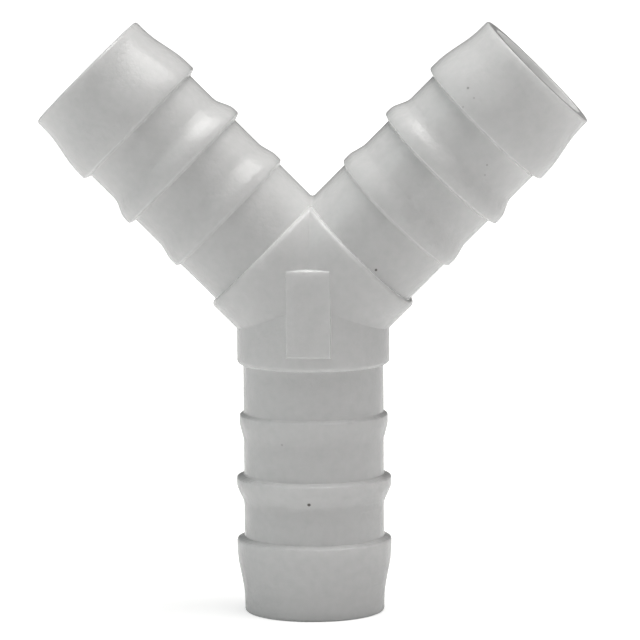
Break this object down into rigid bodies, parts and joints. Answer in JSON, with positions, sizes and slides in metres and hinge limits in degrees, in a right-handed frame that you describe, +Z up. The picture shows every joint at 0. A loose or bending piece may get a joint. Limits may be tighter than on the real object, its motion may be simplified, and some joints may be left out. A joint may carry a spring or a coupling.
{
  "type": "tubing y connector",
  "caption": "One-piece moulded Y connector that joins or divides flexible tubing: a collared hub with equal barbed hose tails on its upright stem and its two leaning branches.",
  "frame": {"origin": "centre of the stem's mouth, in the plane of its end face, which the connector stands on", "axes": "+Z up along the stem towards the hub, the branches lean 45 degrees towards -X and +X, and the front with the raised pad faces -Y"},
  "size_m": [0.074, 0.0211, 0.0801],
  "materials": {
    "body": "natural milky translucent moulded plastic, smooth and satin"
  },
  "bodies": {
    "root": {"y_connector": "body"}
  },
  "joints": []
}
